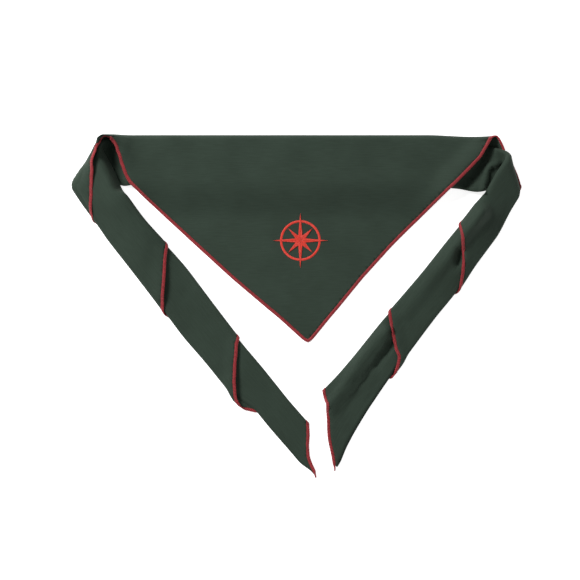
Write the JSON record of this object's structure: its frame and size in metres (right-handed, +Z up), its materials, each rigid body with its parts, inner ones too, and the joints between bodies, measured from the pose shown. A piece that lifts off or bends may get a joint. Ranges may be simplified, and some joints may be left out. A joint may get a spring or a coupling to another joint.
{
  "type": "neckerchief",
  "caption": "Triangular dark green neckerchief with red overlocked edges, rolled into a neck band, laid flat with its point in front and both tails folded down.",
  "frame": {"origin": "on the surface that it lies on, under the middle of its box", "axes": "+X along the neck band, +Y from the point of the flap to the top fold, +Z up out of the surface"},
  "size_m": [0.4722, 0.3654, 0.0349],
  "materials": {
    "cloth": "matt plain weave, dark green",
    "edging_thread": "overlocked thread, red",
    "embroidery_thread": "satin stitch, orange red"
  },
  "bodies": {
    "root": {"cloth": "cloth", "edging": "edging_thread", "compass_rose": "embroidery_thread"}
  },
  "joints": []
}
